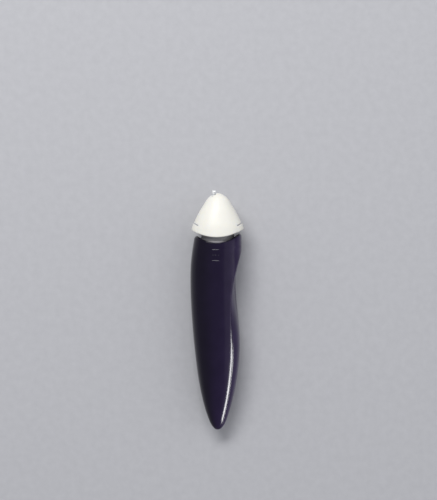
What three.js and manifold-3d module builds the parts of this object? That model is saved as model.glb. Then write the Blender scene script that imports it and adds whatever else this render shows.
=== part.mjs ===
// Pen-style chalk tracing wheel, in millimetres, +Z up, lying on its back.
// +Y runs along the tool towards the wheel, +X is the side with the scooped grip face.
// The origin is the middle of the small flat that the back of the handle rests on.
// Lengths along the tool are "stations", counted from the tail tip.
import * as THREE from 'three';
import { mergeVertices } from 'three/addons/utils/BufferGeometryUtils.js';
import Module from 'manifold-3d';

const wasm = await Module();
wasm.setup();

// ---------- driving dimensions ----------
const REST_STATION = 55;          // station of the origin
const AXIS_HEIGHT = 10.2;         // tool axis above the resting flat
const SHELL_WALL = 1.3;
const SHELL_SEAM = 0.3;           // gap between the two handle shells
const CAVITY_START = 9;           // the tail is solid below this station
const SQUARENESS = 2.4;           // superellipse power of the handle section
const SCOOP_SPAN = 125;           // degrees covered by the scooped face, down from its crease
const SEAM_BELOW_CREASE = 4;      // degrees, so that the crease belongs to the front shell
const SEAM_LOWEST = -8;           // degrees: the right seam leaves the crease here
const MOUTH_RADIUS = 17;          // arc of the handle's mouth, seen from the front
const MOUTH_CENTRE = 101.05;
const MOUTH_X = -0.3;

const CARTRIDGE_X = 0.3;          // centre line of everything that plugs in
const SLEEVE_BORE = 5.65;
const SLEEVE_REAR = 75;
const SLEEVE_WALL = 1;
const FLANGE_RADIUS = 8;
const FLANGE_REAR = 79;
const FLANGE_THICKNESS = 1.5;
const BARREL_RADIUS = 5.3;        // chalk reservoir where it runs in the sleeve
const BARREL_WALL = 0.9;
const BARREL_REAR = 56;
const SEAL_STATION = 79;
const SEAL_THICKNESS = 0.68;      // of the O-ring's round section
const SEAL_GROOVE_DEPTH = 0.55;
const NECK_RADIUS = 7.4;
const NECK_START = 82.4;
const NECK_END = 91.5;
const NECK_MOUTH = 5.4;           // the bore widens to this radius at the neck's end
const THROAT_STATION = 86;
const CHALK_REAR = 60.6;
const CHALK_TIP_RADIUS = 3.6;
const PLUG_REAR = 54.2;
const PLUG_HEAD = 1.6;
const PLUG_LENGTH = 5.9;

const NOSE_X = 0.3;
const NOSE_TIP = 106.3;
const NOSE_WALL = 1.4;
const NOSE_BASE_RADIUS = 21.6;    // arc of the nose's base edge, seen from the front
const NOSE_BASE_CENTRE = 108.05;
const NOSE_BASE_X = -0.2;

const TAB_SLIT = 0.6;             // the dark slit above each release tab
const TAB_SLIT_RADIUS = 17.7;
const TAB_SLIT_CENTRE = 107.4;
const TAB_HALF_WIDTH = 5.8;
const TAB_PROUD = 0.25;
const TAB_INNER = 8.6;            // from the nose's centre plane to the pad's inner face
const TAB_GAP = 0.3;
const LIP_GAP = 0.3;              // between a tab's hidden lip and the nose wall in front of it
const LIP_THICKNESS = 0.5;
const LIP_HALF_WIDTH = 6.6;
const LIP_INNER = 5;              // from the nose's centre plane

const WHEEL_RADIUS = 3.6;
const WHEEL_THICKNESS = 1.5;
const WHEEL_TEETH = 24;
const WHEEL_TOOTH = 0.4;
const WHEEL_STATION = 104.1;
const WHEEL_X = -1.4;
const WHEEL_RISE = 0.8;           // wheel centre above the tool axis
const WHEEL_BORE = 0.64;
const WHEEL_CLEARANCE = 0.25;
const AXLE_RADIUS = 0.55;
const AXLE_LENGTH = 3.4;
const AXLE_OFFSET = 0.1;          // axle's middle, from the wheel's

const FUNNEL_WALL = 0.9;

// ---------- materials ----------
const plastic = (color, roughness) => new THREE.MeshStandardMaterial({ color, roughness, metalness: 0 });
const aubergine = plastic(0x2a2234, 0.32);
const innerBlack = plastic(0x1c1a20, 0.5);
const warmWhite = plastic(0xf0efe8, 0.28);
const smokeGrey = plastic(0x8d8b90, 0.3);
const chalkWhite = plastic(0xf7f7f4, 0.95);
const sealRubber = plastic(0x161616, 0.7);
const steel = new THREE.MeshStandardMaterial({ color: 0xb9bcc0, roughness: 0.3, metalness: 1 });

// ---------- curves along the tool ----------
// A smooth curve through [station, value] knots. Each inner knot has the mean slope of its two sides.
// With roundStart the curve leaves station 0 at a right angle, which rounds the tail tip.
function curve(knots, roundStart = true) {
  const warp = roundStart ? (s) => Math.sqrt(Math.max(s, 0)) : (s) => s;
  const xs = knots.map((knot) => warp(knot[0]));
  const ys = knots.map((knot) => knot[1]);
  const last = knots.length - 1;
  const slopes = xs.slice(1).map((x, i) => (ys[i + 1] - ys[i]) / (x - xs[i]));
  const tangents = xs.map((_, i) => (slopes[Math.max(i - 1, 0)] + slopes[Math.min(i, last - 1)]) / 2);
  return (station) => {
    const x = warp(station);
    let i = 0;
    while (i < last - 1 && x > xs[i + 1]) i += 1;
    const h = xs[i + 1] - xs[i];
    const p = (x - xs[i]) / h;
    const rise = (1 + 2 * p) * (1 - p) ** 2 * ys[i] + p * p * (3 - 2 * p) * ys[i + 1];
    return rise + h * p * (1 - p) * ((1 - p) * tangents[i] - p * tangents[i + 1]);
  };
}

const leftEdge = curve([[0, -0.25], [2, 2.35], [9, 5.2], [20, 7.82], [35, 9.9], [50, 11.25],
  [66, 11.95], [76, 11.65], [88, 9.9]]);
const rightEdge = curve([[0, 0.25], [2, 3.2], [9, 6.15], [20, 8.95], [35, 10.8], [50, 11.2],
  [66, 11.2], [80, 11.05], [88, 10.95]]);
const frontEdge = curve([[0, -2.0], [2, 0.5], [9, 3.9], [20, 6.8], [35, 9.0], [50, 9.9], [66, 10.1],
  [88, 9.9]]);
const backEdge = curve([[0, 2.0], [2, 4.2], [9, 6.7], [20, 8.9], [35, 10.3], [50, 10.5], [75, 10.5],
  [88, 9.8]]);
const creaseAngle = curve([[0, 62], [6, 58], [14, 56], [46, 56], [57, 55], [64, 50.5], [70, 43],
  [75, 33.5], [79, 19], [83, -5], [88, -35]], false);
const scoopDepth = curve([[0, 0.1], [6, 0.35], [20, 0.6], [36, 0.7], [46, 1.4], [56, 2.9], [64, 3.4],
  [70, 2.8], [75, 1.8], [80, 0.8], [84, 0.3], [88, 0]], false);

const toRadians = THREE.MathUtils.degToRad;
const place = (x, station, z) => new THREE.Vector3(x, station - REST_STATION, AXIS_HEIGHT + z);
const polar = (radius, angle) => [radius * Math.cos(angle), radius * Math.sin(angle)];
const superellipse = (angle, a, b, power) => (
  (Math.abs(Math.cos(angle)) / a) ** power + (Math.abs(Math.sin(angle)) / b) ** power) ** (-1 / power);

// A point of the handle's surface; inset moves it in towards the section's centre.
function handlePoint(station, angle, inset = 0) {
  const a = (rightEdge(station) + leftEdge(station)) / 2;
  const b = (frontEdge(station) + backEdge(station)) / 2;
  const u = THREE.MathUtils.euclideanModulo(toRadians(creaseAngle(station)) - angle, 2 * Math.PI)
    / toRadians(SCOOP_SPAN);
  const scoop = u < 1 ? scoopDepth(station) * 6.75 * u * (1 - u) ** 2 : 0;
  const [dx, dz] = polar(superellipse(angle, a, b, SQUARENESS) - scoop - inset, angle);
  const x = (rightEdge(station) - leftEdge(station)) / 2 + dx;
  const z = (frontEdge(station) - backEdge(station)) / 2 + dz;
  return place(x, station, Math.max(z, inset - AXIS_HEIGHT));
}

// ---------- mesh helpers ----------
// A closed body through rings of equal length. A one-point ring is a pole, and other ends are capped flat.
function loft(rings) {
  const points = [];
  const starts = rings.map((ring) => points.push(...ring) - ring.length);
  const index = [];
  for (let i = 0; i + 1 < rings.length; i += 1) {
    const count = Math.max(rings[i].length, rings[i + 1].length);
    const at = (row, j) => starts[row] + (rings[row].length === 1 ? 0 : j % count);
    for (let j = 0; j < count; j += 1) {
      if (rings[i].length > 1) index.push(at(i, j), at(i, j + 1), at(i + 1, j));
      if (rings[i + 1].length > 1) index.push(at(i, j + 1), at(i + 1, j + 1), at(i + 1, j));
    }
  }
  for (const [row, flip] of [[0, true], [rings.length - 1, false]]) {
    if (rings[row].length === 1) continue;
    const outline = rings[row].map((p) => new THREE.Vector2(p.x, p.z));
    const clockwise = THREE.ShapeUtils.isClockWise(outline);
    for (const face of THREE.ShapeUtils.triangulateShape(outline, [])) {
      const [a, b, c] = face.map((k) => starts[row] + k);
      const pts = face.map((k) => outline[k]);
      const turnsClockwise = THREE.ShapeUtils.isClockWise(pts);
      const sameWay = turnsClockwise === clockwise;
      index.push(...(sameWay !== flip ? [a, b, c] : [a, c, b]));
    }
  }
  const geometry = new THREE.BufferGeometry().setFromPoints(points);
  geometry.setIndex(index);
  return outward(geometry);
}

// Turns a closed mesh inside out if its volume comes out negative.
function outward(geometry) {
  const position = geometry.getAttribute('position');
  const index = geometry.getIndex();
  const corner = (k) => new THREE.Vector3().fromBufferAttribute(position, index.getX(k));
  let volume = 0;
  for (let k = 0; k < index.count; k += 3) volume += corner(k).dot(corner(k + 1).cross(corner(k + 2)));
  if (volume < 0) {
    for (let k = 0; k < index.count; k += 3) {
      const swapped = index.getX(k);
      index.setX(k, index.getX(k + 1));
      index.setX(k + 1, swapped);
    }
  }
  return geometry;
}

function toSolid(geometry) {
  const bare = geometry.clone();
  bare.deleteAttribute('normal');
  bare.deleteAttribute('uv');
  const merged = mergeVertices(bare, 1e-4);
  return new wasm.Manifold(new wasm.Mesh({
    numProp: 3,
    vertProperties: new Float32Array(merged.getAttribute('position').array),
    triVerts: new Uint32Array(merged.getIndex().array),
  }));
}

function toGeometry(solid) {
  const mesh = solid.getMesh();
  const geometry = new THREE.BufferGeometry();
  geometry.setAttribute('position', new THREE.BufferAttribute(new Float32Array(mesh.vertProperties), 3));
  geometry.setIndex(new THREE.BufferAttribute(new Uint32Array(mesh.triVerts), 1));
  return geometry;
}

// A turned piece: profile points are [radius, station], and the axis runs along the tool.
function turned(profile, sides, x = CARTRIDGE_X) {
  const points = profile.map(([radius, station]) => new THREE.Vector2(radius, station - REST_STATION));
  const geometry = new THREE.LatheGeometry([...points, points[0]], sides);
  geometry.translate(x, 0, AXIS_HEIGHT);
  const bare = geometry.clone();
  bare.deleteAttribute('normal');
  bare.deleteAttribute('uv');
  return outward(mergeVertices(bare, 1e-4));
}

// A block between two corners given as [x, station, height from the tool axis].
function block(low, high) {
  const geometry = new THREE.BoxGeometry(high[0] - low[0], high[1] - low[1], high[2] - low[2]);
  geometry.translate((low[0] + high[0]) / 2, (low[1] + high[1]) / 2 - REST_STATION,
    AXIS_HEIGHT + (low[2] + high[2]) / 2);
  return geometry;
}

// A round bar along X or Z.
function bar(radius, length, axis, x, station, z, sides = 48) {
  const geometry = new THREE.CylinderGeometry(radius, radius, length, sides);
  if (axis === 'z') geometry.rotateX(Math.PI / 2);
  else geometry.rotateZ(Math.PI / 2);
  geometry.translate(x, station - REST_STATION, AXIS_HEIGHT + z);
  return geometry;
}

function piece(name, geometry, material) {
  const mesh = new THREE.Mesh(geometry, material);
  mesh.name = name;
  return mesh;
}

// ---------- handle ----------
// The mouth is an arc seen from the front, so the last ring's station depends on x.
function mouthStation(angle) {
  let station = 85;
  for (let pass = 0; pass < 6; pass += 1) {
    const x = handlePoint(station, angle).x - MOUTH_X;
    station = MOUTH_CENTRE - Math.sqrt(MOUTH_RADIUS ** 2 - x * x);
  }
  return station;
}

// One half of the handle between two seam angles, as a loft of C-shaped rings.
// The half that holds the crease has a column of points on it.
function shellHalf(firstAngle, lastAngle, columns, holdsCrease) {
  const stations = [0.5, 2, 4.5, 8, CAVITY_START, 13, 18, 24, 30, 36, 42, 48, 53, 57, 61, 65, 69, 72.5,
    76, 79, 82];
  const innerColumns = columns / 2;
  const ring = (stationAt, solidTail) => {
    const middle = stationAt((firstAngle(80) + lastAngle(80)) / 2);
    const halfSeam = SHELL_SEAM / 2 / Math.max(rightEdge(middle), 1.2);
    const first = firstAngle(middle) + halfSeam;
    const last = lastAngle(middle) - halfSeam;
    const second = holdsCrease
      ? firstAngle(middle) + toRadians(SEAM_BELOW_CREASE)
      : first + (last - first) / columns;
    const outerAngle = (j) => (j === 0 ? first : second + (last - second) * (j - 1) / (columns - 1));
    const innerAngle = (j) => first + (last - first) * j / innerColumns;
    const point = (angle, inset) => handlePoint(stationAt(angle), angle, inset);
    const outer = Array.from({ length: columns + 1 }, (_, j) => point(outerAngle(j), 0));
    const inner = Array.from({ length: innerColumns + 1 }, (_, j) => (solidTail
      ? outer[0].clone().lerp(outer[columns], 0.15 + 0.7 * j / innerColumns)
      : point(innerAngle(j), SHELL_WALL)));
    return [...outer, ...inner.reverse()];
  };
  const rings = stations.map((station) => ring(() => station, station < CAVITY_START));
  const middleAngle = (firstAngle(0.5) + lastAngle(0.5)) / 2;
  const tip = handlePoint(0.02, middleAngle);
  return loft([[tip], ...rings, ring(mouthStation, false)]);
}

const rightSeam = (station) => toRadians(Math.max(creaseAngle(station) - SEAM_BELOW_CREASE, SEAM_LOWEST));
const frontShell = shellHalf(rightSeam, () => Math.PI, 18, true);
const backShell = shellHalf(() => Math.PI, (station) => 2 * Math.PI + rightSeam(station), 26, false);

const sleeveOuter = SLEEVE_BORE + SLEEVE_WALL;
const sleeveFront = NECK_START - 0.4;
const flangeFront = FLANGE_REAR + FLANGE_THICKNESS;
const socketSleeve = turned([[SLEEVE_BORE, SLEEVE_REAR], [sleeveOuter, SLEEVE_REAR],
  [sleeveOuter, FLANGE_REAR], [FLANGE_RADIUS, FLANGE_REAR], [FLANGE_RADIUS, flangeFront],
  [sleeveOuter, flangeFront], [sleeveOuter, sleeveFront], [SLEEVE_BORE, sleeveFront]], 32);

// ---------- nose ----------
const noseWidth = curve([[0, 0], [1.2, 3.2], [3, 5.0], [4.8, 6.1], [8.4, 8.3], [12, 10.1], [14.7, 11.15],
  [17, 11.55], [21, 11.7]]);
const noseDepth = curve([[0, 0], [1.2, 3.0], [3, 4.6], [4.8, 5.6], [8.4, 7.4], [12, 8.8], [15, 9.6],
  [21, 9.9]]);
const noseRise = curve([[0, 2.2], [6, 1.4], [13, 0.3], [17, 0], [21, 0]], false);

function nosePoint(station, angle, inset = 0) {
  const below = NOSE_TIP - station;
  const [dx, dz] = polar(
    superellipse(angle, noseWidth(below) - inset, noseDepth(below) - inset, 2), angle);
  return place(NOSE_X + dx, station, noseRise(below) + dz);
}

function noseLoft(stations, inset, sides, tipStation) {
  const rings = stations.map((station) => Array.from({ length: sides },
    (_, j) => nosePoint(station, 2 * Math.PI * j / sides, inset)));
  const tip = tipStation ? [[place(NOSE_X, tipStation, noseRise(NOSE_TIP - tipStation))]] : [];
  return toSolid(loft([...tip, ...rings]));
}

const noseStations = [106.05, 105.3, 104.2, 102.6, 100.4, 97.8, 95.2, 92.8, 90.4, 88, 85.6];
const noseOuter = noseLoft(noseStations, 0, 36, NOSE_TIP);
const noseCavity = noseLoft([101, 98.5, 95.5, 92.5, 89.5, 85], NOSE_WALL, 28);
const sideDepth = 60;             // cutters reach right through the nose, front to back
const frontArc = (radius, x, centre) => toSolid(bar(radius, sideDepth, 'z', x, centre, 0, 96));
const baseArc = frontArc(NOSE_BASE_RADIUS, NOSE_BASE_X, NOSE_BASE_CENTRE);
const lipArc = frontArc(NOSE_BASE_RADIUS - 0.5, NOSE_BASE_X, NOSE_BASE_CENTRE);
const slitArc = frontArc(TAB_SLIT_RADIUS, NOSE_X, TAB_SLIT_CENTRE);
const padArc = frontArc(TAB_SLIT_RADIUS + TAB_SLIT, NOSE_X, TAB_SLIT_CENTRE);
const wheelPocket = toSolid(bar(WHEEL_RADIUS + WHEEL_CLEARANCE, WHEEL_THICKNESS + 0.4, 'x',
  WHEEL_X, WHEEL_STATION, WHEEL_RISE, 32));
const axleHole = toSolid(bar(AXLE_RADIUS + 0.05, AXLE_LENGTH + 1, 'x',
  WHEEL_X + AXLE_OFFSET, WHEEL_STATION, WHEEL_RISE, 16));

// A block on one side of the nose, from below its base up to a station; side is +1 right and -1 left.
const sideBlock = (side, inner, high, halfWidth) => toSolid(block(
  [NOSE_X + Math.min(side * inner, side * 14), 84, -halfWidth],
  [NOSE_X + Math.max(side * inner, side * 14), high, halfWidth]));

let noseCone = noseOuter.subtract(noseCavity).intersect(baseArc).subtract(wheelPocket).subtract(axleHole);
for (const side of [-1, 1]) {
  noseCone = noseCone.subtract(sideBlock(side, 7, 96, TAB_HALF_WIDTH + TAB_GAP).subtract(slitArc));
}

// A pad that fills the notch in the nose's side, with a wider lip that keeps it in behind the wall.
const sideStations = [97, 95.2, 92.8, 90.4, 88, 85.6];
const padSurface = noseLoft(sideStations, -TAB_PROUD, 36);
const lipSurface = noseLoft(sideStations, NOSE_WALL + LIP_GAP, 36)
  .subtract(noseLoft([98, ...sideStations.slice(1, -1), 85], NOSE_WALL + LIP_GAP + LIP_THICKNESS, 36));
function releaseTab(side) {
  const pad = sideBlock(side, TAB_INNER, 96, TAB_HALF_WIDTH)
    .intersect(padSurface).intersect(baseArc).subtract(padArc);
  const lip = sideBlock(side, LIP_INNER, 96, LIP_HALF_WIDTH)
    .intersect(lipSurface).intersect(lipArc).subtract(padArc);
  return toGeometry(pad.add(lip));
}

// The funnel leans from the reservoir's neck to the wheel.
function funnel() {
  const rows = [[NECK_END + 0.5, 6.4], [95, 5.2], [98, 3.6], [99.6, 2.6]];
  const [[low], , , [high]] = rows;
  const lean = (station) => (station - low) / (high - low);
  const ring = ([station, radius]) => Array.from({ length: 24 }, (_, j) => {
    const [dx, dz] = polar(radius, 2 * Math.PI * j / 24);
    const x = CARTRIDGE_X + (WHEEL_X - CARTRIDGE_X) * lean(station) + dx;
    return place(x, station, WHEEL_RISE * lean(station) + dz);
  });
  const bore = rows.map(([station, radius]) => [station, radius - FUNNEL_WALL]);
  bore[0][0] -= 0.5;
  bore[3][0] += 0.5;
  return toGeometry(toSolid(loft(rows.map(ring))).subtract(toSolid(loft(bore.map(ring)))));
}

// ---------- wheel ----------
function toothedWheel() {
  const outline = new THREE.Shape();
  const steps = WHEEL_TEETH * 2;
  for (let k = 0; k < steps; k += 1) {
    const radius = k % 2 ? WHEEL_RADIUS - WHEEL_TOOTH : WHEEL_RADIUS;
    const [x, y] = polar(radius, 2 * Math.PI * k / steps);
    if (k === 0) outline.moveTo(x, y);
    else outline.lineTo(x, y);
  }
  outline.closePath();
  const hole = new THREE.Path();
  hole.absarc(0, 0, WHEEL_BORE, 0, 2 * Math.PI, true);
  outline.holes.push(hole);
  const settings = { depth: WHEEL_THICKNESS, bevelEnabled: false, curveSegments: 16 };
  const geometry = new THREE.ExtrudeGeometry(outline, settings);
  geometry.translate(0, 0, -WHEEL_THICKNESS / 2);
  geometry.rotateY(Math.PI / 2);
  geometry.translate(WHEEL_X, WHEEL_STATION - REST_STATION, AXIS_HEIGHT + WHEEL_RISE);
  return geometry;
}

const wheelAxle = bar(AXLE_RADIUS, AXLE_LENGTH, 'x', WHEEL_X + AXLE_OFFSET, WHEEL_STATION, WHEEL_RISE, 16);

// ---------- chalk reservoir ----------
const barrelBore = BARREL_RADIUS - BARREL_WALL;
const grooveFloor = BARREL_RADIUS - SEAL_GROOVE_DEPTH;
const grooveHalf = SEAL_THICKNESS / 2 + 0.25;
const chalkReservoir = turned([[barrelBore, BARREL_REAR], [BARREL_RADIUS, BARREL_REAR],
  [BARREL_RADIUS, SEAL_STATION - grooveHalf], [grooveFloor, SEAL_STATION - grooveHalf],
  [grooveFloor, SEAL_STATION + grooveHalf], [BARREL_RADIUS, SEAL_STATION + grooveHalf],
  [BARREL_RADIUS, NECK_START], [NECK_RADIUS, NECK_START], [NECK_RADIUS, NECK_END], [NECK_MOUTH, NECK_END],
  [barrelBore, THROAT_STATION]], 40);

const sealRadius = SEAL_THICKNESS / 2;
const sealRing = new THREE.TorusGeometry(grooveFloor + sealRadius + 0.1, sealRadius, 8, 32);
sealRing.rotateX(Math.PI / 2);
sealRing.translate(CARTRIDGE_X, SEAL_STATION - REST_STATION, AXIS_HEIGHT);

const chalkRadius = barrelBore - 0.3;
const chalkShoulder = THROAT_STATION - 1;
const chalkFill = turned([[0, CHALK_REAR], [chalkRadius, CHALK_REAR], [chalkRadius, chalkShoulder],
  [CHALK_TIP_RADIUS, chalkShoulder + 0.6], [0, chalkShoulder + 0.6]], 24);

const headRadius = BARREL_RADIUS - 0.2;
const shankRadius = barrelBore - 0.2;
const shankStart = PLUG_REAR + PLUG_HEAD;
const plugEnd = PLUG_REAR + PLUG_LENGTH;
const chamfer = 0.4;
const reservoirPlug = turned([[0, PLUG_REAR], [headRadius - chamfer, PLUG_REAR],
  [headRadius, PLUG_REAR + chamfer], [headRadius, shankStart], [shankRadius, shankStart],
  [shankRadius, plugEnd - chamfer], [shankRadius - chamfer, plugEnd], [0, plugEnd]], 32);

// ---------- assembly ----------
const tool = new THREE.Group();
tool.name = 'tracing_wheel';
tool.add(
  piece('front_shell', frontShell, aubergine),
  piece('back_shell', backShell, aubergine),
  piece('socket_sleeve', socketSleeve, innerBlack),
  piece('nose_cone', toGeometry(noseCone), warmWhite),
  piece('chalk_funnel', funnel(), smokeGrey),
  piece('release_tab_left', releaseTab(-1), warmWhite),
  piece('release_tab_right', releaseTab(1), warmWhite),
  piece('toothed_wheel', toothedWheel(), steel),
  piece('wheel_axle', wheelAxle, steel),
  piece('chalk_reservoir', chalkReservoir, smokeGrey),
  piece('reservoir_seal', sealRing, sealRubber),
  piece('chalk_fill', chalkFill, chalkWhite),
  piece('reservoir_plug', reservoirPlug, innerBlack),
);

export default tool;
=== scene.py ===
"""Looks of a pen-style chalk tracing wheel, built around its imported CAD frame.

The shapes pass through the same widths and depths as the CAD part, on smoother curves. Lengths below are
millimetres, and "stations" are counted along the tool from the tail tip; metres() turns them into the
frame's own units.
"""

import math

import bmesh
import bpy
import numpy as np
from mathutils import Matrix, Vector


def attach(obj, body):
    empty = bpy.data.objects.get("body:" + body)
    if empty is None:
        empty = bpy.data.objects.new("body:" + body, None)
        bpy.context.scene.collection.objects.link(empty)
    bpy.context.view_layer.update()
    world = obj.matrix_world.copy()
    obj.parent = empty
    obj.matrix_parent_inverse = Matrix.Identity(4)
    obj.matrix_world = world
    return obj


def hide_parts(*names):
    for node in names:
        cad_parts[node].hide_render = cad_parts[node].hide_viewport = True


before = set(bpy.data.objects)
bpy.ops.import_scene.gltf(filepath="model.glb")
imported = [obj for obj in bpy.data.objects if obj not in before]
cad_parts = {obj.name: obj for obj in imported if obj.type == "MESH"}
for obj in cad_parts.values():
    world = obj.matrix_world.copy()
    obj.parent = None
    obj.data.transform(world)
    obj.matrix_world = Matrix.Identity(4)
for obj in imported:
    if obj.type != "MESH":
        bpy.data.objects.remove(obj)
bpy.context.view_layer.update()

# ---------- driving dimensions, in millimetres ----------
MM = 0.001                # metres in a millimetre
REST_STATION = 55         # station of the frame's origin
AXIS_HEIGHT = 10.2        # tool axis above the resting flat
SHELL_WALL = 1.3
SHELL_SEAM = 0.07         # gap between the two handle shells
SEAM_EDGE = 0.12          # rounding of the edges along the seam
SEAM_EDGE_SHARE = 0.2     # the rounding's largest share of the handle's half width
SEAM_BELOW_CREASE = 4     # degrees
SEAM_LOWEST = -8          # degrees
TIP_STATION = 0.02        # the tail's point
FIRST_ROW = 0.15          # the first ring of points beyond it
TIP_HALF_WIDTH = 0.4      # the least half width that spreads columns around the tail
CAVITY_START = 9
CAVITY_POINT = 2          # the cavity comes to a point this far behind its first ring
SQUARENESS = 2.4          # superellipse power of the handle's section
SCOOP_SPAN = math.radians(125)
SCOOP_PEAK = 27 / 4       # makes u (1 - u)^2 peak at 1
MOUTH_RADIUS = 17         # arc of the handle's mouth, seen from the front
MOUTH_CENTRE = 101.05
MOUTH_X = -0.3
MOUTH_FILLET = 0.35       # at the front and back; the sides are rounder
MOUTH_SIDE_FILLET = 1.2
LAST_FLAT_ROW = 81.0      # past this station the rings bend to the mouth's arc
MOUTH_STATION = 84.0      # where the bent rings take their angles around the handle

NOSE_X = 0.3
NOSE_TIP = 106.3
NOSE_WALL = 1.4
NOSE_FIRST_RING = 0.0144  # below the tip
NOSE_LAST_RING = 91       # past this station the rings bend to the base's arc
NOSE_BASE_RADIUS = 21.6   # arc of the nose's base edge, seen from the front
NOSE_BASE_CENTRE = 108.05
NOSE_BASE_X = -0.2
NOSE_FILLET = 0.45
NOSE_ROOF = 101.3         # the hollow's highest point
NOSE_HOLLOW_RINGS = (100.9, 100, 98.5, 97, 95, 93, NOSE_LAST_RING)

TAB_SLIT_RADIUS = 17.7    # arc of the slit above each release tab
TAB_SLIT_CENTRE = 107.4
TAB_SLIT = 0.6
TAB_HALF_WIDTH = 6.0
TAB_GAP = 0.05
TAB_PROUD = 0.25
TAB_BULGE = 0.7           # power that flattens the pad's crown
TAB_INNER = 8.6           # from the nose's centre plane to the pad's inner face
TAB_LEAST = 0.05          # the pad's least thickness
TAB_EDGE = 0.2
TAB_SIDE_EDGE = 0.06
TAB_EDGE_STEPS = np.array([0, 0.02, 0.06, 0.12, 0.2])
NOTCH_INNER = 7.2         # the notch for a tab, from the nose's centre plane
NOTCH_OUTER = 14
NOTCH_BOTTOM = 84
LIP_GAP = 0.3             # between a tab's hidden lip and the nose wall in front of it
LIP_THICKNESS = 0.5
LIP_HALF_WIDTH = 6.6
LIP_RAISED = 0.5          # from the nose's base edge

MOTIF_HEIGHT = 0.09
MOTIF_SUNK = 0.01         # the mark's rim lies this far inside the handle
RIB_STATIONS = (80.8, 75.9)
RIB_LEFT = -2.4
RIB_RIGHT = 1.4
RIB_HALF = 0.36           # half the width of a rib
DOT_STATION = 78.35
DOT_PLACES = (-1.7, -0.5, 0.7)
DOT_HALF = 0.42

CARTRIDGE_X = 0.3         # centre line of everything that plugs in
SLEEVE_BORE = 5.65
SLEEVE_OUTER = 6.65
SLEEVE_REAR = 75
SLEEVE_FRONT = 82
FLANGE_RADIUS = 8
FLANGE_REAR = 79
FLANGE_FRONT = 80.5
BARREL_RADIUS = 5.3       # chalk reservoir where it runs in the sleeve
BARREL_BORE = 4.4
BARREL_REAR = 56
GROOVE_FLOOR = 4.75       # radius of the seal's groove
GROOVE_REAR = 78.41
GROOVE_FRONT = 79.59
NECK_RADIUS = 7.4
NECK_START = 82.4
NECK_END = 91.5
NECK_MOUTH = 5.4          # the bore widens to this radius at the neck's end
NECK_GROOVE = 7.15        # radius of the fine groove around the neck
NECK_GROOVE_REAR = 84.6
NECK_GROOVE_FRONT = 85.1
THROAT_STATION = 86
PLUG_REAR = 54.2
PLUG_END = 60.1
PLUG_HEAD_RADIUS = 5.1
PLUG_HEAD_END = 55.8
PLUG_SHANK_RADIUS = 4.2
SLEEVE_EDGE = 0.15        # rounding of the sleeve's edges
RESERVOIR_EDGE = 0.3
PLUG_EDGE = 0.35

WHEEL_RADIUS = 3.6
WHEEL_THICKNESS = 1.5
WHEEL_TEETH = 24
WHEEL_TOOTH = 0.4
WHEEL_STATION = 104.1
WHEEL_X = -1.4
WHEEL_RISE = 0.8          # wheel centre above the tool axis
WHEEL_BORE = 0.64
WHEEL_CLEARANCE = 0.25    # around the wheel in its pocket
WHEEL_SIDE_CLEARANCE = 0.2
HUB_RADIUS = 1.3
HUB_FOOT = 1.42           # the hub's foot, on the recessed web
WEB_OUTER = 2.6
WEB_DEPTH = 0.14          # the web lies this far below the rim and the hub
RIM_INNER = 2.85
RIM_CHAMFER = 0.16
RIM_CHAMFER_WIDTH = 0.12
# A tooth's outline: (share of the pitch from its middle, share of the tooth's height below its top)
TOOTH = ((-0.5, 1), (-0.42, 0.96), (-0.1, 0.08), (-0.04, 0), (0.04, 0), (0.1, 0.08), (0.42, 0.96))
AXLE_RADIUS = 0.55
AXLE_LENGTH = 3.4
AXLE_OFFSET = 0.1         # axle's middle, from the wheel's
AXLE_HOLE_LENGTH = 4.4
AXLE_HOLE_CLEARANCE = 0.03

# ---------- mesh resolution: rows, columns, spacing and solving steps ----------
OUTER_ROWS = 150
INNER_ROWS = 40
INNER_COLUMNS = 60
BODY_COLUMNS = 100
SEAM_STEPS = np.array([0, 0.02, 0.05, 0.09, 0.13])   # millimetres from a seam
CREASE_COLUMNS = 16
CREASE_BAND = math.radians(11)
FILLET_ROWS = 9
NOSE_SIDES = 160
NOSE_ROWS = 60
NOSE_BEND_ROWS = 7
NOSE_FILLET_ROWS = 8
NOTCH_STEPS = 24
TAB_COLUMNS = 40
# How far down a tab's pad its rows lie, as shares of its height: denser at its upper and lower edges.
TAB_SHARES = np.concatenate([np.array([0, 0.02, 0.06, 0.12, 0.2, 0.3]) / 3, np.linspace(0.13, 0.8, 12),
                             1 - np.array([0.3, 0.2, 0.12, 0.06, 0.02, 0]) / 2])
LIP_COLUMNS = 30
LIP_ROWS = 10
RIB_ROWS = 33
RIB_COLUMNS = 13
DOT_ROWS = 17
SOLVER_STEPS = 30
STEEPEST = 0.98           # how far round the nose's side the tabs' solver may go
LEAST_RADIUS = 0.001      # keeps a section from shrinking to a point
EDGE_REACH = 0.45         # the largest share of a profile's side that its rounded end may take
MERGE = 1e-7              # metres; points this close become one
SHARP_DEGREES = 38        # edges that bend more than this stay sharp
BAR_SHARP_DEGREES = 30

# ---------- stage and camera, in metres ----------
FLOOR_HALF = 1.5
FLOOR_DROP = -0.00005     # keeps the floor just clear of the resting flat
CAMERA_DISTANCE = 1.2
FRAME_HEIGHT = 0.2245     # what the picture's height covers at the tool's axis
SENSOR = 36.0
VIEW_X = 0.67 * MM
VIEW_Y = (80.8 - REST_STATION) * MM


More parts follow.
